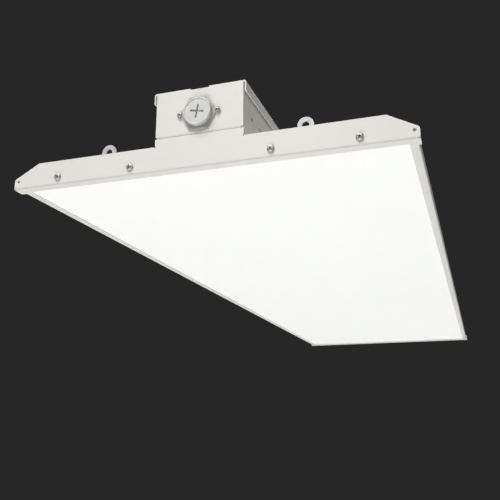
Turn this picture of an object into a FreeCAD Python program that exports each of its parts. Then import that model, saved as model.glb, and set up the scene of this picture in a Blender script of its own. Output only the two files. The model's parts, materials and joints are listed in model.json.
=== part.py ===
"""Linear LED high bay light: a folded sheet pan with a diffuser, closed by two end plates,
carrying a driver box along its back. Millimetres, +Z up, +Y along the length.

The origin is at the middle of the underside: Z = 0 is the underside of the end plates' lips,
the port in the driver box faces -Y, and "left" is -X, "right" is +X, "front" is -Y.
"""
import FreeCAD
import Part

import math
import os

# ---------------------------------------------------------------- end plates
fixture_length = 1219.0        # over the outer faces of the two end plates (48 in)
plate_width = 382.0            # tip to tip (15 in)
plate_sheet = 1.2
plate_tip_height = 10.2        # upright edge at each tip
plate_shoulder_height = 24.3
plate_chamfer_run = 25.9       # slope between tip and shoulder, measured across
plate_tab_width = 85.0         # raised middle that covers the plinth
plate_tab_height = 31.5
plate_tip_radius = 3.0
plate_shoulder_radius = 2.0
plate_lip_depth = 9.7          # folded lip under the diffuser's end
plate_corner_lip_depth = 12.5  # the lip is deeper where it carries a rail
plate_screw_pitch_inner = 134.0
plate_screw_pitch_outer = 286.0
plate_screw_height = 8.0
plate_tip_hole_inset = 4.2     # from the tip
plate_tip_hole_height = 8.0
plate_tip_hole_diameter = 3.2
relief_radius = 0.9            # corner reliefs where a fold ends

# ---------------------------------------------------------------- folds and fits
fold_radius = 0.8              # inside radius of every fold
fit = 0.3                      # clearance between pieces that don't seat on each other
thread_gap = 0.05              # between a screw's shank and its hole

# ---------------------------------------------------------------- housing pan
body_inset = 2.0               # how far the end plates stand out beyond the pan's side walls
pan_sheet = 1.0
rail_width = 8.0               # inward lips that carry the diffuser
pan_top_drop = 1.0             # how far the pan's top lies below the end plates' shoulders
tab_gap = 0.3                  # from the end plate's tab up to the driver box
flange_inset = 10.0            # end flanges start this far outside the plinth
flange_width = 106.0
flange_fold_length = 8.0       # stretch of the pan's top that folds down as the end flange
flange_side_relief = 1.5

# ---------------------------------------------------------------- diffuser
diffuser_thickness = 1.5

# ---------------------------------------------------------------- driver box
tray_width = 84.2
tray_height = 44.3
tray_sheet = 1.0
tray_flange_width = 9.0        # flanges folded inward under the lid
tray_end_gap = 0.2             # open seam between side walls and end walls
tray_end_fold_length = 8.0     # stretch of the floor that folds up as the end wall
lid_sheet = 1.2
lid_side_gap = 1.3             # shadow gap between the lid's flanges and the side walls
lid_flange_height = 10.3
lid_notch_width = 18.2
lid_notch_depth = 5.0
wall_hole_diameter = 4.0
wall_hole_inset = 23.9         # from the end of the box
wall_hole_height = 17.8        # above the floor of the box
wall_slot_inset = 43.0
wall_slot_length = 30.0
wall_slot_height = 2.0
knockout_diameter = 22.2
knockout_cut = 0.5
knockout_bridge = 3.0
knockout_sides = 12
knockout_height = 22.0
lid_knockout_offset = 62.0     # from the middle of the lid

# ---------------------------------------------------------------- hanging eyes
eye_pitch_across = 190.8
eye_inset = 10.7               # middle of the eye's sheet behind the end plate's outer face
eye_sheet = 1.5
eye_outer_radius = 7.3
eye_bore_radius = 3.2
eye_bore_height = 7.2          # above the pan's top
eye_foot_length = 18.0
eye_rivet_inset = 10.5         # from the eye's sheet to the rivet
rivet_head_diameter = 7.0
rivet_head_height = 1.4
rivet_shank_diameter = 4.0
rivet_tail_diameter = 5.6
rivet_tail_length = 3.0

# ---------------------------------------------------------------- sensor port
port_height = 19.9             # above the floor of the box
port_hex_width = 30.8          # across the flats, which lie top and bottom
port_flange_thickness = 1.7
port_sides = 24                # the neck, its socket and the plug in it are prisms
port_neck_radius = 11.5
port_neck_length = 16.0        # behind the box's end wall
port_bore_radius = 9.5
port_floor_thickness = 3.0
port_screw_pitch = 36.0
port_ear_radius = 2.9
port_cap_radius = 13.3
port_cap_thickness = 3.8
port_plug_length = 6.0
port_slot_length = 12.9
port_slot_width = 1.5
port_slot_depth = 1.4
port_slot_turn = 10.0          # degrees, clockwise seen from the front
port_contact_count = 4
port_contact_circle_radius = 5.0
port_contact_diameter = 2.0
port_contact_length = 5.0

# ---------------------------------------------------------------- screws
head_taper = 0.8               # a pan head's flat top, as a share of its width
screw_sides = 6                # screws, rivets and other small turned pieces are prisms
end_screw = {"head": 7.4, "height": 2.6, "shank": 4.0, "length": 8.0}
lid_screw = {"head": 7.0, "height": 2.2, "shank": 3.6, "length": 7.0}
tray_screw = {"head": 7.4, "height": 2.4, "shank": 4.0, "length": 7.0}
driver_screw = {"head": 7.0, "height": 2.2, "shank": 3.6, "length": 2.4}
board_screw = {"head": 5.4, "height": 1.6, "shank": 2.8, "length": 3.6}
port_screw = {"head": 4.8, "height": 1.5, "shank": 2.4, "length": 6.0}
ground_screw = {"head": 7.4, "height": 2.4, "shank": 4.0, "length": 1.8}
lid_screw_inset = 49.5         # first and last lid screws, from the ends
lid_screw_rows = 3
lid_screw_edge = 5.0           # from the tray's side wall
tray_screw_inset = 39.5
tray_screw_rows = 3
tray_screw_edge = 8.1

# ---------------------------------------------------------------- LED boards
board_width = 50.0
board_thickness = 1.6
board_middle = 105.0           # middle of a board, from the middle of the light
board_gap = 12.0               # between the front and the rear boards
board_end_inset = 34.5         # from the end plate's outer face
chip_size = 3.0
chip_thickness = 0.7
chips_per_row = 4
chip_row_pitch = 26.0
chip_end_inset = 14.0
board_screw_end_inset = 30.0
board_screws_per_board = 2
connector_length = 10.0        # across the light
connector_width = 8.0
connector_height = 4.5
connector_edge = 2.0           # from the board's inner edge

# ---------------------------------------------------------------- LED drivers and wiring
driver_length = 300.0
driver_width = 60.0
driver_height = 33.0
driver_place = 0.476           # middle of each driver, as a share of the way to the end
driver_edge_bevel = 2.0
driver_foot_length = 11.0
driver_foot_thickness = 1.5
driver_slot_width = 4.6
driver_slot_inset = 5.5        # middle of the slot, from the driver's end
grommet_inset = 104.5          # from the end plate's outer face
grommet_hole_radius = 8.0
grommet_flange_radius = 11.0
grommet_flange_thickness = 1.8
grommet_bore_radius = 5.6
grommet_sides = 8
terminal_length = 22.0         # along the light
terminal_width = 34.0
terminal_height = 17.0
terminal_pitch = 10.0
terminal_socket_depth = 5.0
terminal_entry_height = 8.0
terminal_bevel = 4.0
ground_entry_across = 14.6     # extra wire entry beside the ground pole
ground_across = 28.0
ground_along = 75.0
ground_ring_radius = 4.2
ground_ring_thickness = 0.9
ground_ring_reach = 12.6       # from the ring's middle to the end of its barrel
lead_sides = 5                 # leads are swept with a plain pentagon
bend_share = 0.45              # share of the shorter run that a lead's bend takes up
mains_lead_diameter = 2.4
output_lead_diameter = 4.0
signal_lead_diameter = 4.5
mains_exit_height = 13.0       # of the leads in a driver's end, above the tray's floor
output_exit_height = 13.0
signal_exit_height = 20.0
mains_exit_pitch = 9.0
output_lead_gap = 0.6          # between the two leads in one grommet
signal_exit_across = 21.0
link_lead_turn = 0.7           # where the dimming link starts to sag, as a share of the way

# ---------------------------------------------------------------- worked out from the above
half_length = fixture_length / 2
plate_inner = half_length - plate_sheet
half_plate = plate_width / 2
half_tab = plate_tab_width / 2
half_body = half_plate - body_inset
half_tray = tray_width / 2
rail_underside = plate_sheet
rail_inner = half_body - rail_width
diffuser_underside = rail_underside + pan_sheet
pan_top = plate_shoulder_height - pan_top_drop
board_top = pan_top - pan_sheet
board_underside = board_top - board_thickness
plinth_top = plate_tab_height + tab_gap
tray_floor = plinth_top + tray_sheet
tray_top = plinth_top + tray_height
driver_middle = driver_place * half_length
grommet_middle = half_length - grommet_inset
half_lid = half_tray + lid_side_gap + lid_sheet
lid_top = tray_top + lid_sheet
port_z = plinth_top + port_height
port_face = half_length + port_flange_thickness
ENDS = {"front": -1, "rear": 1}
SIDES = {"left": -1, "right": 1}
BIG = 10.0                     # how far a cut runs past the sheet it opens


# ---------------------------------------------------------------- helpers
def vec(x, y, z):
    return FreeCAD.Vector(x, y, z)


def block(x_range, y_range, z_range):
    """A box between two values on each axis."""
    low = vec(min(x_range), min(y_range), min(z_range))
    high = vec(max(x_range), max(y_range), max(z_range))
    span = high - low
    return Part.makeBox(span.x, span.y, span.z, low)


def rod(radius, start, end):
    """A cylinder from one point to another."""
    return Part.makeCylinder(radius, (end - start).Length, start, end - start)


def hole_along_y(diameter, x, z, y_from, y_to):
    return rod(diameter / 2, vec(x, y_from, z), vec(x, y_to, z))


def turned(shape):
    """The same piece at the rear end, turned half a turn about the vertical."""
    copy = shape.copy()
    copy.rotate(vec(0, 0, 0), vec(0, 0, 1), 180)
    return copy


def joined(shapes):
    return shapes[0].fuse(shapes[1:]).removeSplitter()


def group(shapes):
    return Part.makeCompound(shapes)


def across_light(half_width):
    """Plane of a section that is run along the light."""
    return lambda u, w: vec(u, half_width, w)


def along_light(x):
    """Plane of a section that is run across the light."""
    return lambda u, w: vec(x, u, w)


def line_between(place, start, end):
    return Part.LineSegment(place(*start), place(*end)).toShape()


def arc_between(place, arc):
    start, middle, end = [place(*point) for point in arc]
    return Part.Arc(start, middle, end).toShape()


def folded_section(corners, sheet, place):
    """Section of a folded sheet. The corners are those of its outer face, and the sheet lies
    to their left. Every fold has the same inside radius, and its two faces share a centre."""
    faces = ([], [])
    ends = ([corners[0]], [])
    count = len(corners)
    for index in range(count - 1):
        (x0, z0), (x1, z1) = corners[index], corners[index + 1]
        length = math.hypot(x1 - x0, z1 - z0)
        way = ((x1 - x0) / length, (z1 - z0) / length)
        left = (-way[1], way[0])
        if index == 0:
            ends[1].append((x0 + left[0] * sheet, z0 + left[1] * sheet))
        else:
            turn = before[0] * way[1] - before[1] * way[0]
            side = 1 if turn > 0 else -1
            outer = fold_radius + sheet if side > 0 else fold_radius
            inner = fold_radius if side > 0 else fold_radius + sheet
            half_turn = math.atan2(abs(turn), before[0] * way[0] + before[1] * way[1]) / 2
            reach = outer * math.tan(half_turn)
            start = (x0 - before[0] * reach, z0 - before[1] * reach)
            centre = (start[0] - side * before[1] * outer, start[1] + side * before[0] * outer)
            out = math.hypot(x0 - centre[0], z0 - centre[1])
            middle = tuple(c + (p - c) * outer / out for c, p in zip(centre, (x0, z0)))
            end = (x0 + way[0] * reach, z0 + way[1] * reach)
            outer_arc = (start, middle, end)
            faces[0].append(outer_arc)
            faces[1].append([tuple(c + (p - c) * inner / outer for c, p in zip(centre, point))
                             for point in outer_arc])
        before = way
    ends[0].append(corners[-1])
    ends[1].append((corners[-1][0] + left[0] * sheet, corners[-1][1] + left[1] * sheet))
    edges = []
    for (first, last), arcs in zip(ends, faces):
        here = first
        for arc in arcs:
            edges.append(line_between(place, here, arc[0]))
            edges.append(arc_between(place, arc))
            here = arc[2]
        edges.append(line_between(place, here, last))
    edges.append(line_between(place, ends[0][0], ends[1][0]))
    edges.append(line_between(place, ends[0][1], ends[1][1]))
    return Part.Face(Part.Wire(Part.__sortEdges__(edges)))


def rounded_outline(corners, place):
    """Closed face from (x, z, corner radius) values, each radius 0 for a sharp corner."""
    edges = []
    count = len(corners)
    links = []
    for index, (x, z, radius) in enumerate(corners):
        x0, z0, _ = corners[index - 1]
        x1, z1, _ = corners[(index + 1) % count]
        back = math.hypot(x0 - x, z0 - z)
        ahead = math.hypot(x1 - x, z1 - z)
        to_last = ((x0 - x) / back, (z0 - z) / back)
        to_next = ((x1 - x) / ahead, (z1 - z) / ahead)
        if radius == 0:
            links.append(((x, z), (x, z)))
            continue
        half_angle = math.acos(to_last[0] * to_next[0] + to_last[1] * to_next[1]) / 2
        reach = radius / math.tan(half_angle)
        start = (x + to_last[0] * reach, z + to_last[1] * reach)
        end = (x + to_next[0] * reach, z + to_next[1] * reach)
        split = (to_last[0] + to_next[0], to_last[1] + to_next[1])
        size = math.hypot(*split)
        dip = radius / math.sin(half_angle) - radius
        middle = (x + split[0] / size * dip, z + split[1] / size * dip)
        edges.append(arc_between(place, (start, middle, end)))
        links.append((start, end))
    for index in range(count):
        edges.append(line_between(place, links[index - 1][1], links[index][0]))
    return Part.Face(Part.Wire(Part.__sortEdges__(edges)))


def ring_points(radius, z, sides):
    """Corners of a regular polygon around the Z axis, with a flat facing +X."""
    turns = [2 * math.pi * (index + 0.5) / sides for index in range(sides)]
    return [vec(radius * math.cos(turn), radius * math.sin(turn), z) for turn in turns]


def flat_face(points):
    return Part.Face(Part.makePolygon(points + points[:1]))


def turned_prism(outline, sides):
    """A small turned piece as a prism: (radius, z) values in order along its outline, from one
    end of the axis to the other."""
    rings = [ring_points(radius, z, sides) for radius, z in outline]
    faces = [flat_face(rings[0]), flat_face(rings[-1])]
    for low, high in zip(rings, rings[1:]):
        for index in range(sides):
            last = index - 1
            faces.append(flat_face([low[last], low[index], high[index], high[last]]))
    return Part.Solid(Part.Shell(faces)).removeSplitter()


def prism(diameter, sides, start, end):
    """A straight prism from one point to another, with its corners on the given circle."""
    radius = diameter / 2
    shape = turned_prism([(radius, 0), (radius, (end - start).Length)], sides)
    shape.Placement = FreeCAD.Placement(start, FreeCAD.Rotation(vec(0, 0, 1), end - start))
    return shape


def screw_hole_y(size, gap, x, z, y_from, y_to):
    """A hole for a screw along Y, with a gap all round the screw's shank."""
    width = size["shank"] + 2 * gap
    return prism(width, screw_sides, vec(x, y_from, z), vec(x, y_to, z))


def screw_hole_z(size, gap, x, y, z_from, z_to):
    """A hole for a screw along Z, with a gap all round the screw's shank."""
    width = size["shank"] + 2 * gap
    return prism(width, screw_sides, vec(x, y, z_from), vec(x, y, z_to))


def pan_head_screw(size, seat, way):
    """A pan head screw: its head stands on the seat and its shank runs on along the way."""
    head = size["head"] / 2
    shank = size["shank"] / 2
    outline = [(head * head_taper, -size["height"]), (head, 0), (shank, 0),
               (shank, size["length"])]
    screw = turned_prism(outline, screw_sides)
    screw.Placement = FreeCAD.Placement(seat, FreeCAD.Rotation(vec(0, 0, 1), way))
    return screw


def soft_lead(name, points, diameter):
    """A lead along straight runs joined by the largest tangent arcs that the runs allow."""
    edges = []
    here = points[0]
    radii = []
    for index in range(1, len(points) - 1):
        before = points[index] - points[index - 1]
        after = points[index + 1] - points[index]
        half_turn = before.getAngle(after) / 2
        radius = bend_share * min(before.Length, after.Length) / math.tan(half_turn)
        radii.append(round(radius, 1))
        before.normalize()
        after.normalize()
        reach = radius * math.tan(half_turn)
        start = points[index] - before * reach
        end = points[index] + after * reach
        split = after - before
        split.normalize()
        middle = points[index] + split * (radius / math.cos(half_turn) - radius)
        edges.append(Part.LineSegment(here, start).toShape())
        edges.append(Part.Arc(start, middle, end).toShape())
        here = end
    edges.append(Part.LineSegment(here, points[-1]).toShape())
    path = Part.Wire(edges)
    turn = FreeCAD.Rotation(vec(0, 0, 1), points[1] - points[0])
    ring = [points[0] + turn.multVec(corner) for corner in ring_points(diameter / 2, 0, lead_sides)]
    section = Part.makePolygon(ring + ring[:1])
    tube = path.makePipeShell([section], True, False)
    ideal = Part.Face(section).Area * path.Length
    print(name, "radii", radii, "length", round(path.Length, 1),
          "volume share", round(tube.Volume / ideal, 4))
    return tube


def spread(first, last, count):
    """Evenly spaced values from first to last."""
    return [first + (last - first) * index / (count - 1) for index in range(count)]


# ---------------------------------------------------------------- end plates
def plate_screw_places():
    pitches = (plate_screw_pitch_inner, plate_screw_pitch_outer)
    return [side * pitch / 2 for pitch in pitches for side in SIDES.values()]


def make_end_plate():
    """One sheet: the outlined face with a lip folded in under the diffuser and the rails."""
    corner_lip = half_length - plate_corner_lip_depth
    profile = [(-half_length, plate_tab_height), (-half_length, 0), (-corner_lip, 0)]
    sheet = folded_section(profile, plate_sheet, along_light(-half_plate))
    sheet = sheet.extrude(vec(plate_width, 0, 0))
    half_shoulder = half_plate - plate_chamfer_run
    right_edge = [(half_plate, -BIG, 0), (half_plate, plate_tip_height, plate_tip_radius),
                  (half_shoulder, plate_shoulder_height, plate_shoulder_radius),
                  (half_tab, plate_shoulder_height, 0), (half_tab, plate_tab_height, 0)]
    left_edge = [(-x, z, radius) for x, z, radius in reversed(right_edge)]
    outline = rounded_outline(right_edge + left_edge, across_light(-half_length - BIG))
    plate = sheet.common(outline.extrude(vec(0, plate_corner_lip_depth + 2 * BIG, 0)))
    cuts = [block((-rail_inner, rail_inner), (plate_lip_depth - half_length, -corner_lip + BIG),
                  (-BIG, plate_sheet + BIG))]
    through = (-half_length - BIG, -plate_inner + fit)
    for x in plate_screw_places():
        cuts.append(screw_hole_y(end_screw, fit, x, plate_screw_height, *through))
    for side in SIDES.values():
        tip_x = side * (half_plate - plate_tip_hole_inset)
        cuts.append(hole_along_y(plate_tip_hole_diameter, tip_x, plate_tip_hole_height, *through))
        for x, z in ((half_tab, plate_shoulder_height),
                     (half_plate - relief_radius, relief_radius)):
            cuts.append(prism(2 * relief_radius, screw_sides, vec(side * x, through[0], z),
                              vec(side * x, through[1], z)))
    return plate.cut(cuts)


def make_end_plate_screws():
    screws = []
    for x in plate_screw_places():
        for way in (1, -1):
            seat = vec(x, -way * half_length, plate_screw_height)
            screws.append(pan_head_screw(end_screw, seat, vec(0, way, 0)))
    return group(screws)


# ---------------------------------------------------------------- housing pan
def pan_chamfer():
    """Where the pan's slopes start and end, parallel to the end plate's and just inside it."""
    rise = plate_shoulder_height - plate_tip_height
    slope = math.hypot(plate_chamfer_run, rise)
    normal = (rise / slope, plate_chamfer_run / slope)
    level = normal[0] * half_plate + normal[1] * plate_tip_height - pan_top_drop
    start_z = (level - normal[0] * half_body) / normal[1]
    end_x = (level - normal[1] * pan_top) / normal[0]
    return start_z, end_x


def flange_range():
    start = half_tray + flange_inset
    return start, start + flange_width


def make_housing_pan():
    """One folded sheet: rails, side walls, slopes, shoulders, a raised plinth along the
    middle, and a flange folded down behind each half of the end plates."""
    start_z, end_x = pan_chamfer()
    right = [(rail_inner, rail_underside), (half_body, rail_underside), (half_body, start_z),
             (end_x, pan_top), (half_tray, pan_top), (half_tray, plinth_top)]
    left = [(-x, z) for x, z in reversed(right)]
    run = plate_inner - fit
    section = folded_section(right + left, pan_sheet, across_light(-run))
    pan = section.extrude(vec(0, 2 * run, 0))
    near, far = flange_range()
    middle = (near + far) / 2
    fold_start = plate_inner - flange_fold_length
    flange_low = diffuser_underside + diffuser_thickness + fit
    profile = [(-fold_start, pan_top), (-plate_inner, pan_top), (-plate_inner, flange_low)]
    reliefs = []
    flanges = []
    for side in SIDES.values():
        low = side * middle - flange_width / 2
        flange = folded_section(profile, pan_sheet, along_light(low))
        flange = flange.extrude(vec(flange_width, 0, 0))
        wide = (low - flange_side_relief, low + flange_width + flange_side_relief)
        relief = block(wide, (-fold_start, -plate_inner - BIG), (board_top - fit, pan_top + fit))
        flanges += [flange, turned(flange)]
        reliefs += [relief, turned(relief)]
    rail_end = plate_inner - fold_radius - fit
    for side in SIDES.values():
        corner = block((side * (rail_inner - BIG), side * (half_body + BIG)),
                       (-rail_end, -plate_inner - BIG),
                       (rail_underside - BIG, rail_underside + fold_radius + fit))
        reliefs += [corner, turned(corner)]
    pan = joined([pan.cut(reliefs)] + flanges)
    return pan.cut(pan_holes())


def pan_holes():
    holes = []
    shoulder = (board_top - BIG, pan_top + BIG)
    plinth = (plinth_top - pan_sheet - fit, plinth_top + fit)
    for x in plate_screw_places():
        for end in ENDS.values():
            through = (end * (plate_inner + BIG), end * (plate_inner - pan_sheet - fit))
            holes.append(screw_hole_y(end_screw, thread_gap, x, plate_screw_height, *through))
    for x, y in eye_rivet_places():
        holes.append(rivet_hole(x, y, *shoulder))
    for x, y in board_screw_places():
        holes.append(screw_hole_z(board_screw, thread_gap, x, y, *shoulder))
    for x, y in tray_screw_places():
        holes.append(screw_hole_z(tray_screw, thread_gap, x, y, *plinth))
    for end in ENDS.values():
        holes.append(grommet_hole(end, *plinth))
    return holes


def make_diffuser():
    """A flat opal sheet that lies on the rails, between the side walls' folds."""
    half_width = half_body - pan_sheet - fold_radius - fit
    run = plate_inner - fit
    return block((-half_width, half_width), (-run, run),
                 (diffuser_underside, diffuser_underside + diffuser_thickness))


# ---------------------------------------------------------------- driver box
def tray_screw_places():
    x = half_tray - tray_screw_edge
    reach = half_length - tray_screw_inset
    return [(side * x, y) for y in spread(-reach, reach, tray_screw_rows)
            for side in SIDES.values()]


def lid_screw_places():
    x = half_tray - lid_screw_edge
    reach = half_length - lid_screw_inset
    return [(side * x, y) for y in spread(-reach, reach, lid_screw_rows)
            for side in SIDES.values()]


def knockout(place_tool):
    """The ring cut of a knock-out, left whole at two bridges."""
    radius = knockout_diameter / 2
    depth = vec(0, 0, tray_sheet + lid_sheet)
    ring = prism(2 * (radius + knockout_cut), knockout_sides, -depth, depth)
    half = knockout_bridge / 2
    bridge = block((-half, half), (-radius - BIG, radius + BIG), (-depth.z, depth.z))
    ring = ring.cut([prism(2 * radius, knockout_sides, -depth, depth), bridge])
    ring.Placement = place_tool.multiply(ring.Placement)
    return ring


def make_driver_tray():
    """One folded sheet: floor, side walls with flanges for the lid, and two end walls."""
    flange_x = half_tray - tray_flange_width
    section = [(-flange_x, tray_top), (-half_tray, tray_top), (-half_tray, plinth_top),
               (half_tray, plinth_top), (half_tray, tray_top), (flange_x, tray_top)]
    run = half_length - tray_sheet - tray_end_gap
    trough = folded_section(section, tray_sheet, across_light(-run))
    trough = trough.extrude(vec(0, 2 * run, 0))
    fold = fold_radius + tray_sheet
    half_floor = half_tray - fold
    fold_start = half_length - tray_end_fold_length
    floor_cut = block((-half_floor, half_floor), (-fold_start, -half_length - BIG),
                      (plinth_top - fit, tray_floor + fit))
    profile = [(-fold_start, plinth_top), (-half_length, plinth_top), (-half_length, tray_top)]
    profile.reverse()
    wall = folded_section(profile, tray_sheet, along_light(-half_tray))
    wall = wall.extrude(vec(tray_width, 0, 0))
    corner_cuts = [block((side * half_floor, side * (half_tray + BIG)),
                         (-half_length - BIG, -fold_start + BIG),
                         (plinth_top - BIG, plinth_top + fold)) for side in SIDES.values()]
    wall = wall.cut(corner_cuts)
    tray = joined([trough.cut([floor_cut, turned(floor_cut)]), wall, turned(wall)])
    return tray.cut(tray_holes())


def tray_holes():
    holes = []
    floor = (plinth_top - fit, tray_floor + fit)
    for x, y in tray_screw_places():
        holes.append(screw_hole_z(tray_screw, fit, x, y, *floor))
    for end in ENDS.values():
        holes.append(grommet_hole(end, *floor))
    for x, y in driver_screw_places():
        holes.append(screw_hole_z(driver_screw, thread_gap, x, y, *floor))
    holes.append(screw_hole_z(ground_screw, thread_gap, -ground_across, ground_along, *floor))
    for x, y in lid_screw_places():
        holes.append(screw_hole_z(lid_screw, thread_gap, x, y, tray_top - tray_sheet - fit,
                                  tray_top + fit))
    holes += port_panel_holes()
    through = (-half_tray - fit, half_tray + fit)
    hole_y = half_length - wall_hole_inset
    slot_y = half_length - wall_slot_inset
    z = plinth_top + wall_hole_height
    half_slot = wall_slot_height / 2
    for end in ENDS.values():
        holes.append(rod(wall_hole_diameter / 2, vec(through[0], end * hole_y, z),
                         vec(through[1], end * hole_y, z)))
        holes.append(block(through, (end * slot_y, end * (slot_y - wall_slot_length)),
                           (z - half_slot, z + half_slot)))
    upright = FreeCAD.Rotation(vec(1, 0, 0), 90)
    rear = vec(0, half_length, plinth_top + knockout_height)
    holes.append(knockout(FreeCAD.Placement(rear, upright)))
    return holes


def make_driver_lid():
    """A shallow channel over the box, with a notch in each end."""
    low = lid_top - lid_flange_height
    section = [(half_lid, low), (half_lid, lid_top), (-half_lid, lid_top), (-half_lid, low)]
    lid = folded_section(section, lid_sheet, across_light(-half_length))
    lid = lid.extrude(vec(0, fixture_length, 0))
    half_notch = lid_notch_width / 2
    notch = block((-half_notch, half_notch),
                  (-half_length - BIG, lid_notch_depth - half_length), (tray_top - fit, lid_top + fit))
    cuts = [notch, turned(notch)]
    for x, y in lid_screw_places():
        cuts.append(screw_hole_z(lid_screw, fit, x, y, tray_top - fit, lid_top + fit))
    middle = vec(0, lid_knockout_offset, tray_top + lid_sheet / 2)
    cuts.append(knockout(FreeCAD.Placement(middle, FreeCAD.Rotation())))
    return lid.cut(cuts)


def make_lid_screws():
    return group([pan_head_screw(lid_screw, vec(x, y, lid_top), vec(0, 0, -1))
                  for x, y in lid_screw_places()])


def make_tray_screws():
    return group([pan_head_screw(tray_screw, vec(x, y, tray_floor), vec(0, 0, -1))
                  for x, y in tray_screw_places()])


# ---------------------------------------------------------------- hanging eyes
def eye_rivet_places():
    reach = half_length - eye_inset - eye_rivet_inset
    return [(side * eye_pitch_across / 2, end * reach)
            for end in ENDS.values() for side in SIDES.values()]


def make_hang_eye(x):
    """A bracket with a foot on the pan and an upright ring, here at the front end."""
    near = -half_length + eye_inset - eye_sheet / 2
    top = pan_top + eye_bore_height + eye_outer_radius
    profile = [(near, top), (near, pan_top), (near + eye_foot_length, pan_top)]
    bracket = folded_section(profile, eye_sheet, along_light(x - eye_outer_radius))
    bracket = bracket.extrude(vec(2 * eye_outer_radius, 0, 0))
    middle = pan_top + eye_bore_height
    reach = (near - BIG, near + eye_foot_length + BIG)
    dome = hole_along_y(2 * eye_outer_radius, x, middle, *reach)
    below = block((x - eye_outer_radius, x + eye_outer_radius), reach, (pan_top - BIG, middle))
    bracket = bracket.common(joined([dome, below]))
    bore = hole_along_y(2 * eye_bore_radius, x, middle, near - BIG, near + eye_sheet + fit)
    rivet_y = -half_length + eye_inset + eye_rivet_inset
    pierced = rivet_hole(x, rivet_y, pan_top - fit, pan_top + eye_sheet + fit)
    return bracket.cut([bore, pierced])


def rivet_hole(x, y, z_from, z_to):
    return prism(rivet_shank_diameter + 2 * thread_gap, screw_sides, vec(x, y, z_from),
                 vec(x, y, z_to))


def make_eye_rivets():
    """Blind rivets through the eyes' feet, with a set tail under the pan."""
    head = rivet_head_diameter / 2
    shank = rivet_shank_diameter / 2
    tail = rivet_tail_diameter / 2
    seat = pan_top + eye_sheet
    under = pan_top - pan_sheet
    outline = [(shank, under - rivet_tail_length), (tail, under), (shank, under),
               (shank, seat), (head, seat), (head * head_taper, seat + rivet_head_height)]
    rivet = turned_prism(outline, screw_sides)
    return group([rivet.translated(vec(x, y, 0)) for x, y in eye_rivet_places()])


# ---------------------------------------------------------------- sensor port
def port_outline(depth, front_y):
    """The hexagon with a round ear at each side, as a plate that runs towards the box."""
    apothem = port_hex_width / 2
    reach = apothem / math.cos(math.pi / 6)
    corners = []
    for index in range(6):
        angle = math.radians(60 * index)
        corners.append(vec(reach * math.cos(angle), front_y, port_z + reach * math.sin(angle)))
    plate = Part.Face(Part.makePolygon(corners + corners[:1])).extrude(vec(0, depth, 0))
    ears = [hole_along_y(2 * port_ear_radius, side * port_screw_pitch / 2, port_z,
                         front_y, front_y + depth) for side in SIDES.values()]
    return joined([plate] + ears)


def port_prism(radius, y_from, y_to):
    return prism(2 * radius, port_sides, vec(0, y_from, port_z), vec(0, y_to, port_z))


def port_panel_holes():
    through = (-half_length - fit, -half_length + tray_sheet + fit)
    holes = [port_prism(port_neck_radius + fit, *through)]
    for side in SIDES.values():
        holes.append(screw_hole_y(port_screw, thread_gap, side * port_screw_pitch / 2, port_z,
                                  *through))
    return holes


def port_ear_holes(plate, front_y, depth):
    return plate.cut([screw_hole_y(port_screw, fit, side * port_screw_pitch / 2, port_z,
                                   front_y - fit, front_y + depth + fit)
                      for side in SIDES.values()])


def make_port_housing():
    """A hexagonal flange with a neck through the box's end wall and a blind socket."""
    plate = port_ear_holes(port_outline(port_flange_thickness, -port_face), -port_face,
                           port_flange_thickness)
    back = -half_length + tray_sheet + port_neck_length
    neck = port_prism(port_neck_radius, -port_face, back)
    socket = port_prism(port_bore_radius, -port_face - fit, back - port_floor_thickness)
    return joined([plate, neck]).cut(socket)


def make_port_contacts():
    """Spring contacts standing on the floor of the port's socket."""
    floor_y = -half_length + tray_sheet + port_neck_length - port_floor_thickness
    pins = []
    for index in range(port_contact_count):
        angle = 2 * math.pi * (index + 0.5) / port_contact_count
        x = port_contact_circle_radius * math.cos(angle)
        z = port_z + port_contact_circle_radius * math.sin(angle)
        pins.append(prism(port_contact_diameter, screw_sides,
                          vec(x, floor_y - port_contact_length, z), vec(x, floor_y, z)))
    return group(pins)


def make_port_cap():
    """A round cap with a cross slot for a coin or driver, and a plug behind."""
    front_y = -port_face - port_cap_thickness
    disc = hole_along_y(2 * port_cap_radius, 0, port_z, front_y, -port_face)
    plug = port_prism(port_bore_radius - fit, -port_face, -port_face + port_plug_length)
    cap = joined([disc, plug])
    half_slot = port_slot_width / 2
    half_arm = port_slot_length / 2
    deep = (front_y - fit, front_y + port_slot_depth)
    arms = [block((-a, a), deep, (port_z - b, port_z + b))
            for a, b in ((half_arm, half_slot), (half_slot, half_arm))]
    cross = joined(arms)
    cross.rotate(vec(0, 0, port_z), vec(0, 1, 0), port_slot_turn)
    return cap.cut(cross)


def make_port_screws():
    return group([pan_head_screw(port_screw, vec(side * port_screw_pitch / 2, -port_face, port_z),
                                 vec(0, 1, 0)) for side in SIDES.values()])


# ---------------------------------------------------------------- LED boards
def board_range():
    """How far a board runs along the light, from the middle outward."""
    return board_gap / 2, half_length - board_end_inset


def make_led_board(side, end):
    near, far = board_range()
    board = block((side * board_middle - board_width / 2, side * board_middle + board_width / 2),
                  (end * near, end * far), (board_underside, board_top))
    holes = [screw_hole_z(board_screw, fit, x, y, board_underside - fit, board_top + fit)
             for x, y in board_screw_places()]
    return board.cut(holes)


def board_screw_places():
    near, far = board_range()
    rows = spread(near + board_screw_end_inset, far - board_screw_end_inset,
                  board_screws_per_board)
    return [(side * board_middle, end * y) for side in SIDES.values()
            for end in ENDS.values() for y in rows]


def make_board_screws():
    return group([pan_head_screw(board_screw, vec(x, y, board_underside), vec(0, 0, 1))
                  for x, y in board_screw_places()])


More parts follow.
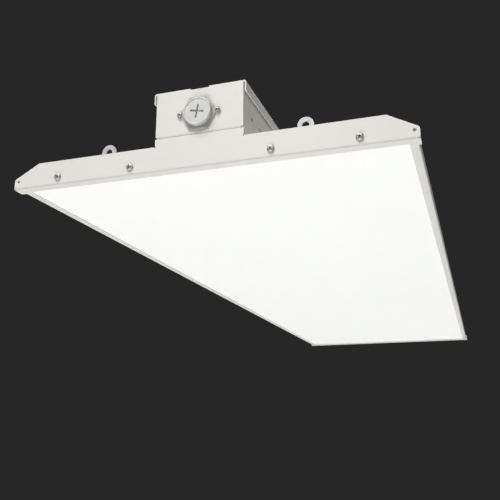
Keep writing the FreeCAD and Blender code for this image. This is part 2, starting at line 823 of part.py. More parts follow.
def make_led_chips():
    near, far = board_range()
    half = chip_size / 2
    chips = []
    for y in spread(near + chip_end_inset, far - chip_end_inset, chips_per_row):
        for end in ENDS.values():
            for side in SIDES.values():
                for row in (-0.5, 0.5):
                    x = side * board_middle + row * chip_row_pitch
                    chips.append(block((x - half, x + half), (end * y - half, end * y + half),
                                       (board_underside - chip_thickness, board_underside)))
    return group(chips)


def connector_face():
    """The inner face of a board connector, where its lead goes in."""
    return board_middle - board_width / 2 + connector_edge


def make_board_connectors():
    near = connector_face()
    half = connector_width / 2
    blocks = []
    for end in ENDS.values():
        for side in SIDES.values():
            middle = end * grommet_middle
            blocks.append(block((side * near, side * (near + connector_length)),
                                (middle - half, middle + half),
                                (board_underside - connector_height, board_underside)))
    return group(blocks)


# ---------------------------------------------------------------- LED drivers
def driver_screw_places():
    reach = driver_length / 2 + driver_slot_inset
    return [(0, end * (driver_middle + way * reach)) for end in ENDS.values() for way in (-1, 1)]


def make_led_driver(end):
    """A closed case with a slotted foot at each end."""
    half_width = driver_width / 2
    half = driver_length / 2
    middle = end * driver_middle
    case = block((-half_width, half_width), (middle - half, middle + half),
                 (tray_floor, tray_floor + driver_height))
    top = tray_floor + driver_height
    long_edges = [edge for edge in case.Edges
                  if edge.BoundBox.YLength > half and edge.BoundBox.ZMin > top - fit]
    case = case.makeChamfer(driver_edge_bevel, long_edges)
    reach = half + driver_foot_length
    foot = block((-half_width, half_width), (middle - reach, middle + reach),
                 (tray_floor, tray_floor + driver_foot_thickness))
    driver = joined([case, foot])
    slots = []
    for way in (-1, 1):
        slot_y = middle + way * (half + driver_slot_inset)
        slots.append(prism(driver_slot_width, screw_sides, vec(0, slot_y, tray_floor - fit),
                           vec(0, slot_y, tray_floor + driver_foot_thickness + fit)))
        slots.append(block((-driver_slot_width / 2, driver_slot_width / 2),
                           (slot_y, middle + way * (reach + fit)),
                           (tray_floor - fit, tray_floor + driver_foot_thickness + fit)))
    return driver.cut(slots)


def make_driver_screws():
    seat = tray_floor + driver_foot_thickness
    return group([pan_head_screw(driver_screw, vec(x, y, seat), vec(0, 0, -1))
                  for x, y in driver_screw_places()])


# ---------------------------------------------------------------- wiring
def grommet_hole(end, z_from, z_to):
    """The hole that a grommet's neck fills."""
    y = end * grommet_middle
    return prism(2 * grommet_hole_radius, grommet_sides, vec(0, y, z_from), vec(0, y, z_to))


def make_grommet(end):
    """A rubber ring with a groove that grips the plinth and the tray's floor."""
    low = plinth_top - pan_sheet
    outline = [(grommet_flange_radius, low - grommet_flange_thickness),
               (grommet_flange_radius, low), (grommet_hole_radius, low),
               (grommet_hole_radius, tray_floor), (grommet_flange_radius, tray_floor),
               (grommet_flange_radius, tray_floor + grommet_flange_thickness)]
    ring = turned_prism(outline, grommet_sides)
    bore = prism(2 * grommet_bore_radius, grommet_sides, vec(0, 0, plinth_top - BIG),
                 vec(0, 0, tray_floor + BIG))
    return ring.cut(bore).translated(vec(0, end * grommet_middle, 0))


def make_terminal_block():
    """A three-pole lever block with a wire entry for each pole on both sides."""
    half_width = terminal_width / 2
    half = terminal_length / 2
    top = tray_floor + terminal_height
    profile = [(-half, tray_floor, 0), (half, tray_floor, 0), (half, top - terminal_bevel, 0),
               (half - terminal_bevel, top, 0), (terminal_bevel - half, top, 0),
               (-half, top - terminal_bevel, 0)]
    body = rounded_outline(profile, along_light(-half_width))
    body = body.extrude(vec(terminal_width, 0, 0))
    cuts = []
    for x in mains_places(terminal_pitch):
        for way in (-1, 1):
            entry = (way * (half + fit), way * (half - terminal_socket_depth))
            cuts.append(wire_entry(x, *entry))
    cuts.append(wire_entry(-ground_entry_across, half + fit, half - terminal_socket_depth))
    return body.cut(cuts)


def wire_entry(x, y_from, y_to):
    z = tray_floor + terminal_entry_height
    return prism(mains_lead_diameter + 2 * fit, screw_sides, vec(x, y_from, z), vec(x, y_to, z))


def mains_places(pitch):
    return [pitch, 0, -pitch]


def make_mains_leads():
    """Line, neutral and ground leads from the terminal block to the drivers' inner ends."""
    names = ("line_leads", "neutral_leads", "ground_leads")
    socket = terminal_length / 2 - terminal_socket_depth
    driver_end = driver_middle - driver_length / 2
    low = tray_floor + terminal_entry_height
    high = tray_floor + mains_exit_height
    step = (driver_end - socket) / 3
    nodes = {}
    for name, x_block, x_driver in zip(names, mains_places(terminal_pitch),
                                       mains_places(mains_exit_pitch)):
        leads = []
        for end in ENDS.values():
            route = [vec(x_block, end * socket, low), vec(x_block, end * (socket + step), low),
                     vec(x_driver, end * (driver_end - step), high),
                     vec(x_driver, end * driver_end, high)]
            leads.append(soft_lead(name, route, mains_lead_diameter))
        nodes[name] = leads
    nodes["ground_leads"].append(make_case_ground_lead())
    return {name: group(leads) for name, leads in nodes.items()}


def make_output_leads():
    """From each driver's outer end down through a grommet to the two boards' connectors."""
    across = (output_lead_diameter + output_lead_gap) / 2
    driver_end = driver_middle + driver_length / 2
    high = tray_floor + output_exit_height
    low = board_underside - connector_height / 2
    face_x = connector_face()
    leads = []
    for end in ENDS.values():
        for side in SIDES.values():
            x = side * across
            drop_y = end * grommet_middle
            route = [vec(x, end * driver_end, high), vec(x, drop_y, high), vec(x, drop_y, low),
                     vec(side * face_x, drop_y, low)]
            leads.append(soft_lead("output lead", route, output_lead_diameter))
    return group(leads)


def make_port_lead():
    """From the back of the port to the front driver's outer end."""
    start = half_length - tray_sheet - port_neck_length
    driver_end = driver_middle + driver_length / 2
    step = (start - driver_end) / 4
    z_end = tray_floor + signal_exit_height
    route = [vec(0, -start, port_z), vec(0, -start + step, port_z),
             vec(-signal_exit_across, -driver_end - step, z_end),
             vec(-signal_exit_across, -driver_end, z_end)]
    return soft_lead("port lead", route, signal_lead_diameter)


def make_link_lead():
    """Dimming link between the drivers' inner ends, sagging to the floor beside the block."""
    driver_end = driver_middle - driver_length / 2
    turn_y = driver_end * link_lead_turn
    high = tray_floor + signal_exit_height
    low = tray_floor + signal_lead_diameter / 2
    route = [vec(signal_exit_across, y, z) for y, z in
             ((-driver_end, high), (-turn_y, high), (0, low), (turn_y, high), (driver_end, high))]
    return soft_lead("link lead", route, signal_lead_diameter)


def make_ground_ring():
    """Ring terminal under the ground screw, with a crimped barrel towards its lead."""
    top = tray_floor + ground_ring_thickness
    plate = prism(2 * ground_ring_radius, screw_sides, vec(-ground_across, ground_along, tray_floor),
                  vec(-ground_across, ground_along, top))
    half_tongue = ground_ring_radius / 2
    barrel_end = ground_along - ground_ring_reach
    barrel_start = ground_along - ground_ring_reach / 2
    tongue = block((-ground_across - half_tongue, -ground_across + half_tongue),
                   (barrel_end, ground_along), (tray_floor, top))
    barrel_z = top + mains_lead_diameter / 2
    barrel = prism(mains_lead_diameter + 2 * ground_ring_thickness, screw_sides,
                   vec(-ground_across, barrel_end, barrel_z),
                   vec(-ground_across, barrel_start, barrel_z))
    hole = screw_hole_z(ground_screw, fit, -ground_across, ground_along, tray_floor - fit,
                        tray_floor + BIG)
    return joined([plate, tongue, barrel]).cut(hole)


def make_ground_screw():
    seat = vec(-ground_across, ground_along, tray_floor + ground_ring_thickness)
    return pan_head_screw(ground_screw, seat, vec(0, 0, -1))


def make_case_ground_lead():
    """From the ring terminal back to the terminal block's ground entry."""
    start = ground_along - ground_ring_reach
    end = terminal_length / 2 - terminal_socket_depth
    step = (start - end) / 3
    low = tray_floor + mains_lead_diameter / 2 + ground_ring_thickness
    high = tray_floor + terminal_entry_height
    route = [vec(-ground_across, start, low), vec(-ground_across, start - step, low),
             vec(-ground_entry_across, end + step, high), vec(-ground_entry_across, end, high)]
    return soft_lead("ground lead", route, mains_lead_diameter)


# ---------------------------------------------------------------- all nodes
def make_nodes():
    plate = make_end_plate()
    nodes = {
        "housing_pan": make_housing_pan(),
        "end_plate_front": plate,
        "end_plate_rear": turned(plate),
        "end_plate_screws": make_end_plate_screws(),
        "diffuser_panel": make_diffuser(),
        "driver_tray": make_driver_tray(),
        "tray_screws": make_tray_screws(),
        "driver_lid": make_driver_lid(),
        "lid_screws": make_lid_screws(),
        "eye_rivets": make_eye_rivets(),
        "port_housing": make_port_housing(),
        "port_contacts": make_port_contacts(),
        "port_cap": make_port_cap(),
        "port_screws": make_port_screws(),
        "led_chips": make_led_chips(),
        "board_connectors": make_board_connectors(),
        "board_screws": make_board_screws(),
        "driver_screws": make_driver_screws(),
        "terminal_block": make_terminal_block(),
        "output_leads": make_output_leads(),
        "port_lead": make_port_lead(),
        "dimming_link_lead": make_link_lead(),
        "ground_ring": make_ground_ring(),
        "ground_screw": make_ground_screw(),
    }
    for end_name, end in ENDS.items():
        nodes["led_driver_" + end_name] = make_led_driver(end)
        nodes["grommet_" + end_name] = make_grommet(end)
        for side_name, side in SIDES.items():
            place = end_name + "_" + side_name
            eye = make_hang_eye(-end * side * eye_pitch_across / 2)
            nodes["hang_eye_" + place] = eye if end < 0 else turned(eye)
            nodes["led_board_" + place] = make_led_board(side, end)
    nodes.update(make_mains_leads())
    return nodes


os.makedirs("parts", exist_ok=True)
for node_name, node_shape in make_nodes().items():
    print(node_name, "valid", node_shape.isValid(), "solids", len(node_shape.Solids))
    node_shape.exportStep("parts/" + node_name + ".step")
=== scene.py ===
"""Looks of the high bay light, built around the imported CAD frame.

Blender's units are metres, with +Z up and the port facing -Y. Sizes of the small pieces are
written in millimetres and scaled by MM.
"""

import json
import math

import bmesh
import bpy
from mathutils import Matrix, Vector


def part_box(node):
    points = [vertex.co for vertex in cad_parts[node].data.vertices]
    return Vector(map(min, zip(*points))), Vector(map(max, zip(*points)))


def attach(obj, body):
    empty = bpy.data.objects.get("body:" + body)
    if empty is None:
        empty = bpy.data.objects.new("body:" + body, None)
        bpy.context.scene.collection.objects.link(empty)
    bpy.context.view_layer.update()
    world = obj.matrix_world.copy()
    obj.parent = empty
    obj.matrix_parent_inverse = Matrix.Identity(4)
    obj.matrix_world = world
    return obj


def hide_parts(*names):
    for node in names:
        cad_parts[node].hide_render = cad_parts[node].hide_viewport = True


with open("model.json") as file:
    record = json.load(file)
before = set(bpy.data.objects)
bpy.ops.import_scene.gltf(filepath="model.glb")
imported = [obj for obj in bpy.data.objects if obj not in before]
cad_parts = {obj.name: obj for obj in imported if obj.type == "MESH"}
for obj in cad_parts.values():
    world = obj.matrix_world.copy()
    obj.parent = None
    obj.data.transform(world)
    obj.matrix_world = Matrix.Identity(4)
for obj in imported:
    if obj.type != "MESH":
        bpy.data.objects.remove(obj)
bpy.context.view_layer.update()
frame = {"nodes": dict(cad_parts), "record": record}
NODES = frame["nodes"]
MM = 0.001

SHARP_ANGLE = 35.0          # degrees; edges that turn more than this stay sharp

# Places and sizes that the CAD gives, in millimetres
PLATE_FACE = 609.5          # outer face of each end plate, from the middle
PLATE_SCREWS_ACROSS = (-143.0, -67.0, 67.0, 143.0)
PLATE_SCREW_HEIGHT = 8.0
LID_SCREW_ACROSS = 37.1
LID_SCREWS_ALONG = (-560.0, 0.0, 560.0)
RIVET_ACROSS = 95.4
RIVET_ALONG = 588.3
RIVET_HEIGHT = 24.8         # top of the eye's foot
PORT_ACROSS = 0.0
PORT_HEIGHT = 51.7
PORT_HEX_WIDTH = 30.8       # across the flats
PORT_EAR_RADIUS = 2.9
PORT_SCREW_PITCH = 36.0
PORT_FLANGE = 1.7           # thickness
PORT_NECK_RADIUS = 11.5
PORT_NECK_END = -17.0       # ends are heights along the port's axis, outward from the plate
PORT_BORE_RADIUS = 9.5
PORT_BORE_END = -14.0
CAP_TURN = 10.0             # degrees, clockwise seen from the front

# Sizes of this script's own, in millimetres
PORT_NECK_TOP = 1.2
PORT_WELL_RADIUS = 1.3      # the holes that the ear screws stand in
SHEET_EDGE = 0.15           # rounding of the sheet's edges
FLOOR_HEIGHT = -1500.0
FLOOR_RADIUS = 12000.0
FLOOR_THICKNESS = 20.0

# The camera, matched to the photograph: metres, millimetres of lens, degrees of roll
CAMERA_PLACE = (0.2235, -1.1275, -0.2291)
CAMERA_AHEAD = (-0.3084, 0.9140, 0.2634)
CAMERA_ROLL = 0.17
CAMERA_LENS = 49.48

# What the camera and reflections see behind the light, and what lights it
SEEN_COLOUR = (0.02, 0.02, 0.02, 1.0)
FILL_COLOUR = (1.0, 1.0, 0.995, 1.0)
FILL_STRENGTH = 0.08


# ------------------------------------------------------------------ materials
def seen_rays(tree, strength):
    """strength for camera, glossy and transmission rays, and 0 for the rays that light things."""
    path = tree.nodes.new("ShaderNodeLightPath")
    shown = path.outputs["Is Camera Ray"]
    for kind in ("Is Glossy Ray", "Is Transmission Ray"):
        both = tree.nodes.new("ShaderNodeMath")
        both.operation = "ADD"
        both.use_clamp = True
        tree.links.new(shown, both.inputs[0])
        tree.links.new(path.outputs[kind], both.inputs[1])
        shown = both.outputs["Value"]
    scaled = tree.nodes.new("ShaderNodeMath")
    scaled.operation = "MULTIPLY"
    scaled.inputs[1].default_value = strength
    tree.links.new(shown, scaled.inputs[0])
    return scaled.outputs["Value"]


class Shader:
    """A Principled material with its nodes at hand."""

    def __init__(self, name, **values):
        self.material = bpy.data.materials.new(name)
        self.material.use_nodes = True
        self.tree = self.material.node_tree
        self.bsdf = self.tree.nodes["Principled BSDF"]
        for key, value in values.items():
            self.bsdf.inputs[key.replace("_", " ")].default_value = value
        self.place = self.node("ShaderNodeTexCoord").outputs["Object"]

    def node(self, kind, **settings):
        made = self.tree.nodes.new(kind)
        for key, value in settings.items():
            setattr(made, key, value)
        return made

    def link(self, start, end):
        self.tree.links.new(start, end)

    def stretched(self, scale):
        mapping = self.node("ShaderNodeMapping")
        mapping.inputs["Scale"].default_value = scale
        self.link(self.place, mapping.inputs["Vector"])
        return mapping.outputs["Vector"]

    def noise(self, scale, detail=3.0, rough=0.5, vector=None):
        made = self.node("ShaderNodeTexNoise")
        made.inputs["Scale"].default_value = scale
        made.inputs["Detail"].default_value = detail
        made.inputs["Roughness"].default_value = rough
        self.link(vector or self.place, made.inputs["Vector"])
        return made.outputs["Fac"]

    def ramp(self, source, stops):
        made = self.node("ShaderNodeValToRGB")
        line = made.color_ramp
        while len(line.elements) < len(stops):
            line.elements.new(0.5)
        for element, (at, colour) in zip(line.elements, stops):
            element.position = at
            element.color = (*colour, 1.0)
        self.link(source, made.inputs["Fac"])
        return made.outputs["Color"]

    def product(self, first, second):
        """Two colours multiplied."""
        made = self.node("ShaderNodeMix", data_type="RGBA", blend_type="MULTIPLY")
        made.inputs["Factor"].default_value = 1.0
        self.link(first, made.inputs["A"])
        self.link(second, made.inputs["B"])
        return made.outputs["Result"]

    def spread(self, source, low, high, start=0.3, end=0.7):
        """Maps start..end of the source to low..high."""
        made = self.node("ShaderNodeMapRange")
        made.inputs["From Min"].default_value = start
        made.inputs["From Max"].default_value = end
        made.inputs["To Min"].default_value = low
        made.inputs["To Max"].default_value = high
        self.link(source, made.inputs["Value"])
        return made.outputs["Result"]

    def colour(self, source):
        self.link(source, self.bsdf.inputs["Base Color"])

    def roughness(self, source):
        self.link(source, self.bsdf.inputs["Roughness"])

    def bump(self, heights):
        """heights: [(height source, distance in metres, strength)], laid over each other."""
        normal = None
        for source, distance, strength in heights:
            made = self.node("ShaderNodeBump")
            made.inputs["Distance"].default_value = distance
            made.inputs["Strength"].default_value = strength
            self.link(source, made.inputs["Height"])
            if normal is not None:
                self.link(normal, made.inputs["Normal"])
            normal = made.outputs["Normal"]
        self.link(normal, self.bsdf.inputs["Normal"])


def shades(colour, low, high):
    """Ramp stops from a darker to a lighter shade of one colour."""
    return [(0.35, tuple(c * low for c in colour)), (0.65, tuple(c * high for c in colour))]


def powder_coat(name, colour):
    """Satin powder coat: fine orange peel, specks of filler, and slow drifts in tone."""
    made = Shader(name, Metallic=0.0, Specular_IOR_Level=0.38)
    drift = made.ramp(made.noise(3.1, 4.0), shades(colour, 0.975, 1.015))
    specks = made.spread(made.noise(2600.0, 1.0), 0.965, 1.0, 0.28, 0.42)
    grain = made.node("ShaderNodeCombineColor")
    for socket in grain.inputs:
        made.link(specks, socket)
    made.colour(made.product(drift, grain.outputs["Color"]))
    made.roughness(made.spread(made.noise(42.0, 4.0), 0.42, 0.52))
    made.bump([(made.noise(620.0, 2.0), 0.00005, 0.35), (made.noise(2100.0, 2.0), 0.00002, 0.3)])
    return made.material


def opal(name, colour):
    """Frosted acrylic, softly lit from inside."""
    made = Shader(name, Metallic=0.0, Specular_IOR_Level=0.3, Subsurface_Weight=0.15,
                  Subsurface_Scale=0.004, Coat_Roughness=0.3)
    made.colour(made.ramp(made.noise(2.2, 3.0), shades(colour, 0.985, 1.01)))
    made.roughness(made.spread(made.noise(90.0, 3.0), 0.5, 0.62))
    made.bump([(made.noise(1500.0, 2.0), 0.00002, 0.4)])
    made.bsdf.inputs["Emission Color"].default_value = (1.0, 1.0, 0.985, 1.0)
    made.bsdf.inputs["Emission Strength"].default_value = 0.18
    return made.material


def zinc(name, colour, low, high, lie=(1.0, 1.0, 14.0)):
    """Bright zinc plate: clouded passivation, drawn scratches and small pits."""
    made = Shader(name, Metallic=1.0)
    clouds = made.noise(170.0, 4.0, 0.6)
    made.colour(made.ramp(clouds, shades(colour, 0.86, 1.06)))
    drawn = made.noise(900.0, 3.0, 0.6, made.stretched(lie))
    made.roughness(made.spread(drawn, low, high))
    made.bump([(drawn, 0.00002, 0.35), (made.noise(1400.0, 2.0), 0.00001, 0.3)])
    return made.material


def moulded(name, colour, low=0.42, high=0.55, peel=1100.0, depth=0.00003):
    """Moulded plastic or rubber with a fine spark-eroded grain."""
    made = Shader(name, Metallic=0.0, Specular_IOR_Level=0.45)
    made.colour(made.ramp(made.noise(60.0, 4.0), shades(colour, 0.94, 1.04)))
    made.roughness(made.spread(made.noise(240.0, 3.0), low, high))
    made.bump([(made.noise(peel, 3.0, 0.6), depth, 0.4)])
    return made.material


WHITE = (0.80, 0.793, 0.758)
looks = {
    "housing_paint": powder_coat("coat_housing", WHITE),
    "box_paint": powder_coat("coat_box", (0.78, 0.773, 0.739)),
    "opal_diffuser": opal("opal_sheet", (0.90, 0.90, 0.895)),
    "zinc_screws": zinc("zinc_screw", (0.56, 0.56, 0.55), 0.5, 0.64),
    "zinc_sheet": zinc("zinc_sheet", (0.66, 0.66, 0.655), 0.64, 0.76),
    "rivet_aluminium": zinc("rivet_alu", (0.76, 0.77, 0.78), 0.3, 0.42),
    "seal_rubber": moulded("rubber_black", (0.022, 0.022, 0.022), 0.6, 0.75),
    # painted shade: the port body gets a darker grey than the cap's plastic, standing in for the
    # shadow under the cap
    "port_grey": moulded("plastic_grey_painted_shade", (0.42, 0.42, 0.40)),
    "cap_white": moulded("plastic_cap", (0.67, 0.67, 0.65)),
    "contact_brass": zinc("brass_contact", (0.83, 0.66, 0.32), 0.2, 0.32),
    "ground_green": moulded("paint_green", (0.03, 0.20, 0.07), 0.35, 0.45),
    "board_white": moulded("solder_mask", (0.82, 0.82, 0.81), 0.3, 0.4, 300.0),
    "led_yellow": moulded("phosphor", (0.85, 0.62, 0.12), 0.3, 0.45, 2500.0),
    "connector_white": moulded("plastic_white", (0.80, 0.80, 0.77), 0.3, 0.4),
    "driver_case": zinc("driver_sheet", (0.78, 0.79, 0.79), 0.35, 0.48, (1.0, 12.0, 1.0)),
    "terminal_orange": moulded("plastic_orange", (0.75, 0.20, 0.02), 0.3, 0.4),
    "lead_black": moulded("wire_black", (0.012, 0.012, 0.012), 0.4, 0.5),
    "lead_white": moulded("wire_white", (0.72, 0.72, 0.70), 0.4, 0.5),
    "lead_green": moulded("wire_green", (0.02, 0.18, 0.05), 0.4, 0.5),
    "lead_red": moulded("wire_red", (0.42, 0.015, 0.01), 0.4, 0.5),
    "lead_violet": moulded("wire_violet", (0.14, 0.05, 0.28), 0.4, 0.5),
}
slot_of = {entry["node"]: entry["material_slot"] for entry in frame["record"]["subparts"]}
for node_name, node_object in NODES.items():
    node_object.data.materials.clear()
    node_object.data.materials.append(looks[slot_of[node_name]])


# ------------------------------------------------------------------ mesh helpers
def new_object(name, mesh):
    """Object in the scene, smooth except at its sharp edges."""
    made = bpy.data.objects.new(name, mesh)
    bpy.context.scene.collection.objects.link(made)
    mesh.shade_smooth()
    mesh.set_sharp_from_angle(angle=math.radians(SHARP_ANGLE))
    return made


def lathe(profile, segments=40):
    """Closed mesh from (radius, height) points in millimetres, turned about +Z."""
    shape = bmesh.new()
    rings = []
    for radius, height in profile:
        if radius == 0:
            rings.append([shape.verts.new((0, 0, height * MM))])
            continue
        ring = []
        for index in range(segments):
            angle = 2 * math.pi * index / segments
            ring.append(shape.verts.new((radius * MM * math.cos(angle),
                                         radius * MM * math.sin(angle), height * MM)))
        rings.append(ring)
    for first, second in zip(rings, rings[1:]):
        for index in range(segments):
            after = (index + 1) % segments
            corners = [first[index % len(first)], first[after % len(first)],
                       second[after % len(second)], second[index % len(second)]]
            corners = list(dict.fromkeys(corners))
            if len(corners) > 2:
                shape.faces.new(corners)
    for ring in (rings[0], rings[-1]):
        if len(ring) > 1:
            shape.faces.new(ring)
    bmesh.ops.recalc_face_normals(shape, faces=shape.faces)
    mesh = bpy.data.meshes.new("turned")
    shape.to_mesh(mesh)
    shape.free()
    return mesh


def prism_mesh(outline, low, high, taper=1.0):
    """Closed mesh from (x, y) points in millimetres, between two heights.

    taper scales the outline's low end.
    """
    shape = bmesh.new()
    floor = [shape.verts.new((x * MM * taper, y * MM * taper, low * MM)) for x, y in outline]
    top = [shape.verts.new((x * MM, y * MM, high * MM)) for x, y in outline]
    count = len(outline)
    for index in range(count):
        after = (index + 1) % count
        shape.faces.new((floor[index], floor[after], top[after], top[index]))
    shape.faces.new(list(reversed(floor)))
    shape.faces.new(top)
    bmesh.ops.recalc_face_normals(shape, faces=shape.faces)
    mesh = bpy.data.meshes.new("prism")
    shape.to_mesh(mesh)
    shape.free()
    return mesh


def cross_outline(length, width):
    """Cross of two bars, anticlockwise."""
    a, b = length / 2, width / 2
    return [(a, -b), (a, b), (b, b), (b, a), (-b, a), (-b, b), (-a, b), (-a, -b), (-b, -b),
            (-b, -a), (b, -a), (b, -b)]


def carved(mesh, cutters, bevel=0.0, segments=2):
    """mesh less the cutters, with its sharp edges rounded by bevel millimetres."""
    base = bpy.data.objects.new("base", mesh)
    bpy.context.scene.collection.objects.link(base)
    tools = []
    for cutter in cutters:
        tool = bpy.data.objects.new("tool", cutter)
        bpy.context.scene.collection.objects.link(tool)
        tools.append(tool)
        cut = base.modifiers.new("cut", "BOOLEAN")
        cut.operation = "DIFFERENCE"
        cut.solver = "EXACT"
        cut.object = tool
    if bevel:
        edge = base.modifiers.new("edge", "BEVEL")
        edge.width = bevel * MM
        edge.segments = segments
        edge.limit_method = "ANGLE"
        edge.angle_limit = math.radians(SHARP_ANGLE)
    graph = bpy.context.evaluated_depsgraph_get()
    result = bpy.data.meshes.new_from_object(base.evaluated_get(graph), depsgraph=graph)
    for helper in [base] + tools:
        bpy.data.objects.remove(helper)
    return result


def placed(name, mesh, places, slot):
    """One object that holds a copy of the mesh at each place."""
    shape = bmesh.new()
    for place in places:
        start = len(shape.verts)
        shape.from_mesh(mesh)
        shape.verts.ensure_lookup_table()
        bmesh.ops.transform(shape, matrix=place, verts=shape.verts[start:])
    joined = bpy.data.meshes.new(name)
    shape.to_mesh(joined)
    shape.free()
    joined.materials.append(looks[slot])
    made = new_object(name, joined)
    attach(made, "root")
    return made


def facing(x, y, z, normal, spin=0.0):
    """Places a mesh whose +Z is its outward side, in millimetres."""
    turn = Vector(normal).to_track_quat("Z", "Y").to_matrix().to_4x4()
    return Matrix.Translation(Vector((x, y, z)) * MM) @ turn @ Matrix.Rotation(spin, 4, "Z")


# ------------------------------------------------------------------ screws and rivets
def pan_head(radius, height, cross, shank=1.5, length=1.0):
    """A pan head that stands on z = 0, with a tapered cross recess and a short shank."""
    profile = [(0, -length), (shank, -length), (shank, 0.02), (radius * 0.96, 0.0),
               (radius, height * 0.12), (radius * 0.985, height * 0.32),
               (radius * 0.93, height * 0.55), (radius * 0.80, height * 0.78),
               (radius * 0.58, height * 0.93), (radius * 0.30, height * 0.99), (0, height)]
    arms = prism_mesh(cross_outline(cross, cross * 0.27), -0.2, height * 1.2, 0.55)
    well = lathe([(0, -0.5), (cross * 0.12, -0.4), (cross * 0.26, height * 1.2),
                  (0, height * 1.2)], 12)
    return carved(lathe(profile), [arms, well], 0.06)


plate_head = pan_head(3.5, 2.3, 4.3, 2.0, 1.4)
plate_spins = (0.35, 1.0, 0.1, 0.72)
plate_places = []
for across, spin in zip(PLATE_SCREWS_ACROSS, plate_spins):
    for way in (-1, 1):
        plate_places.append(facing(across, way * PLATE_FACE, PLATE_SCREW_HEIGHT, (0, way, 0),
                                   spin + way))
plate_screws = placed("plate_screws", plate_head, plate_places, "zinc_screws")
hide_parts("end_plate_screws")

lid_head = pan_head(3.5, 2.2, 4.0, 1.8, 1.0)
lid_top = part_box("driver_lid")[1][2] / MM
lid_places = [facing(side * LID_SCREW_ACROSS, along, lid_top, (0, 0, 1), 0.4 + 0.5 * step)
              for side in (-1, 1) for step, along in enumerate(LID_SCREWS_ALONG)]
lid_screws = placed("box_screws", lid_head, lid_places, "zinc_screws")
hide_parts("lid_screws")

rivet = lathe([(0, -3.8), (1.6, -3.8), (2.6, -3.0), (2.8, -1.6), (2.0, -1.4), (2.0, 0.0),
               (3.4, 0.0), (3.5, 0.15), (3.3, 0.62), (2.7, 1.05), (1.9, 1.3), (1.05, 1.38),
               (1.0, 1.1), (0.0, 1.05)], 32)
rivets = placed("eye_rivets_domed", rivet,
                [facing(side * RIVET_ACROSS, end * RIVET_ALONG, RIVET_HEIGHT, (0, 0, 1))
                 for side in (-1, 1) for end in (-1, 1)], "rivet_aluminium")
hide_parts("eye_rivets")


# ------------------------------------------------------------------ sensor port
def port_outline(flat, ear, pitch, steps=14):
    """Hexagon with a rounded ear at its left and right corners, anticlockwise."""
    reach = flat / math.cos(math.pi / 6) / 2
    gap = pitch / 2 - reach
    along = (-gap + math.sqrt(gap * gap - 4 * (gap * gap - ear * ear))) / 2
    start = math.atan2(along * math.cos(math.pi / 6), -gap - along / 2)
    points = []
    for side in (1, -1):
        for index in range(steps + 1):
            angle = -start + 2 * start * index / steps
            points.append((side * (pitch / 2 + ear * math.cos(angle)),
                           side * ear * math.sin(angle)))
        for x in (reach / 2, -reach / 2):
            points.append((side * x, side * flat / 2))
    return points


def ring_of(radius, steps):
    """Points on a circle, anticlockwise."""
    return [(radius * math.cos(2 * math.pi * k / steps), radius * math.sin(2 * math.pi * k / steps))
            for k in range(steps)]


flange = prism_mesh(port_outline(PORT_HEX_WIDTH, PORT_EAR_RADIUS, PORT_SCREW_PITCH), 0.0,
                    PORT_FLANGE)
screw_wells = []
for side in (-1, 1):
    well = prism_mesh(ring_of(PORT_WELL_RADIUS, 20), -1.0, 2.5)
    well.transform(Matrix.Translation((side * PORT_SCREW_PITCH / 2 * MM, 0, 0)))
    screw_wells.append(well)
bore = prism_mesh(ring_of(PORT_BORE_RADIUS, 48), -1.0, 3.0)
flange = carved(flange, screw_wells + [bore], 0.3, 3)
neck = lathe([(0, PORT_NECK_END), (PORT_NECK_RADIUS, PORT_NECK_END),
              (PORT_NECK_RADIUS, PORT_NECK_TOP), (PORT_BORE_RADIUS, PORT_NECK_TOP),
              (PORT_BORE_RADIUS, PORT_BORE_END), (0, PORT_BORE_END)], 48)
port_place = facing(PORT_ACROSS, -PLATE_FACE, PORT_HEIGHT, (0, -1, 0))
whole = bmesh.new()
for part in (flange, neck):
    whole.from_mesh(part)
port_mesh = bpy.data.meshes.new("port_body")
whole.to_mesh(port_mesh)
whole.free()
port_body = placed("port_body", port_mesh, [port_place], "port_grey")
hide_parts("port_housing")

cap_profile = [(0, -4.2), (9.1, -4.2), (9.2, -4.0), (9.2, 1.7), (13.0, 1.7), (13.2, 1.85),
               (13.3, 2.1), (13.3, 4.7), (13.22, 5.05), (13.02, 5.32), (12.75, 5.45), (12.4, 5.5),
               (12.05, 5.44), (11.85, 5.25), (11.75, 5.0), (11.5, 4.9), (11.4, 4.9),
               (11.2, 4.9), (0, 4.9)]
cap_slot = prism_mesh(cross_outline(13.2, 1.9), 2.3, 7.0)
cap_mesh = carved(lathe(cap_profile, 96), [cap_slot])
turn = Matrix.Rotation(math.radians(CAP_TURN), 4, "Y")
centre = Matrix.Translation((PORT_ACROSS * MM, 0, PORT_HEIGHT * MM))
port_cap = placed("port_cover", cap_mesh, [centre @ turn @ centre.inverted() @ port_place],
                  "cap_white")
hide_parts("port_cap")

ear_head = pan_head(2.3, 1.4, 3.2, 1.2, 2.0)
ear_places = [facing(side * PORT_SCREW_PITCH / 2, -PLATE_FACE - PORT_FLANGE, PORT_HEIGHT,
                     (0, -1, 0), 0.2)
              for side in (-1, 1)]
ear_screws = placed("port_ear_screws", ear_head, ear_places, "zinc_screws")
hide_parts("port_screws")


# ------------------------------------------------------------------ softened sheet edges
for name in ("end_plate_front", "end_plate_rear", "housing_pan", "driver_tray", "driver_lid",
             "diffuser_panel", "hang_eye_front_left", "hang_eye_front_right",
             "hang_eye_rear_left", "hang_eye_rear_right"):
    edge = NODES[name].modifiers.new("edge", "BEVEL")
    edge.width = SHEET_EDGE * MM
    edge.segments = 1
    edge.limit_method = "ANGLE"
    edge.angle_limit = math.radians(50)


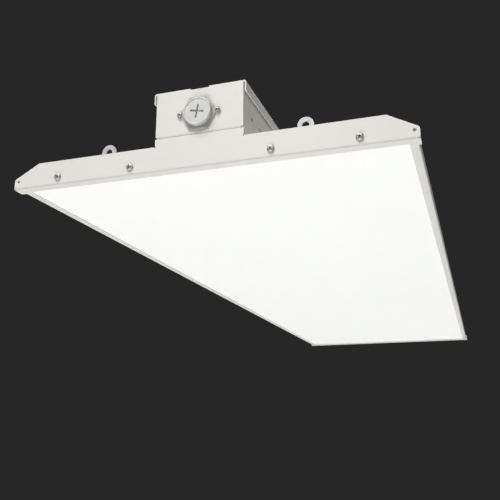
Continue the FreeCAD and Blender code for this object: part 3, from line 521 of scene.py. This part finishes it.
# ------------------------------------------------------------------ floor, light, camera
floor_mesh = prism_mesh(ring_of(FLOOR_RADIUS, 64), FLOOR_HEIGHT - FLOOR_THICKNESS, FLOOR_HEIGHT)
floor = new_object("studio_floor", floor_mesh)
ground = Shader("floor_pale", Metallic=0.0, Specular_IOR_Level=0.2)
pale = ground.ramp(ground.noise(1.4, 3.0), shades((0.62, 0.62, 0.61), 0.98, 1.01))
ground.colour(pale)
ground.roughness(ground.spread(ground.noise(8.0, 3.0), 0.75, 0.85))
ground.link(pale, ground.bsdf.inputs["Emission Color"])
ground.link(seen_rays(ground.tree, 0.35), ground.bsdf.inputs["Emission Strength"])
floor.data.materials.append(ground.material)

world = bpy.data.worlds.new("studio")
bpy.context.scene.world = world
world.use_nodes = True
tree = world.node_tree
tree.nodes.clear()
output = tree.nodes.new("ShaderNodeOutputWorld")
seen = tree.nodes.new("ShaderNodeBackground")
seen.inputs["Color"].default_value = SEEN_COLOUR
seen.inputs["Strength"].default_value = 1.0
light = tree.nodes.new("ShaderNodeBackground")
light.inputs["Color"].default_value = FILL_COLOUR
light.inputs["Strength"].default_value = FILL_STRENGTH
choice = tree.nodes.new("ShaderNodeMixShader")
tree.links.new(seen_rays(tree, 1.0), choice.inputs["Fac"])
tree.links.new(light.outputs["Background"], choice.inputs[1])
tree.links.new(seen.outputs["Background"], choice.inputs[2])
tree.links.new(choice.outputs["Shader"], output.inputs["Surface"])


def soft_lamp(name, place, aim, size, power):
    """Square area lamp that the camera doesn't see; size in metres, power in watts."""
    data = bpy.data.lights.new(name, "AREA")
    data.shape = "SQUARE"
    data.size = size
    data.energy = power
    data.color = (1.0, 0.995, 0.985)
    lamp = bpy.data.objects.new(name, data)
    bpy.context.scene.collection.objects.link(lamp)
    lamp.location = place
    way = Vector(aim) - Vector(place)
    lamp.rotation_euler = way.to_track_quat("-Z", "Y").to_euler()
    lamp.visible_camera = False


soft_lamp("key", (-0.4, -2.2, 2.4), (0, -0.5, 0), 1.5, 94.0)
soft_lamp("front", (-0.15, -1.6, -1.2), (-0.15, -1.6, 0), 1.2, 14.0)
soft_lamp("below", (0.0, 0.75, -1.35), (0, 0.75, 0), 2.0, 14.5)
soft_lamp("side", (1.7, 0.4, 2.1), (0, 0.1, 0.03), 1.0, 14.0)
soft_lamp("rear", (-0.9, 2.2, 1.3), (0, 0.5, 0), 1.5, 36.0)

camera_data = bpy.data.cameras.new("camera")
camera = bpy.data.objects.new("camera", camera_data)
bpy.context.scene.collection.objects.link(camera)
camera_data.sensor_width = 36.0
camera_data.lens = CAMERA_LENS
camera_data.clip_start = 0.01
camera_data.clip_end = 100.0
camera.location = CAMERA_PLACE
camera.rotation_mode = "QUATERNION"
level = Vector(CAMERA_AHEAD).normalized().to_track_quat("-Z", "Y")
roll = Matrix.Rotation(math.radians(CAMERA_ROLL), 3, "Z").to_quaternion()
camera.rotation_quaternion = level @ roll
bpy.context.scene.camera = camera

bpy.context.scene.view_settings.view_transform = "Standard"
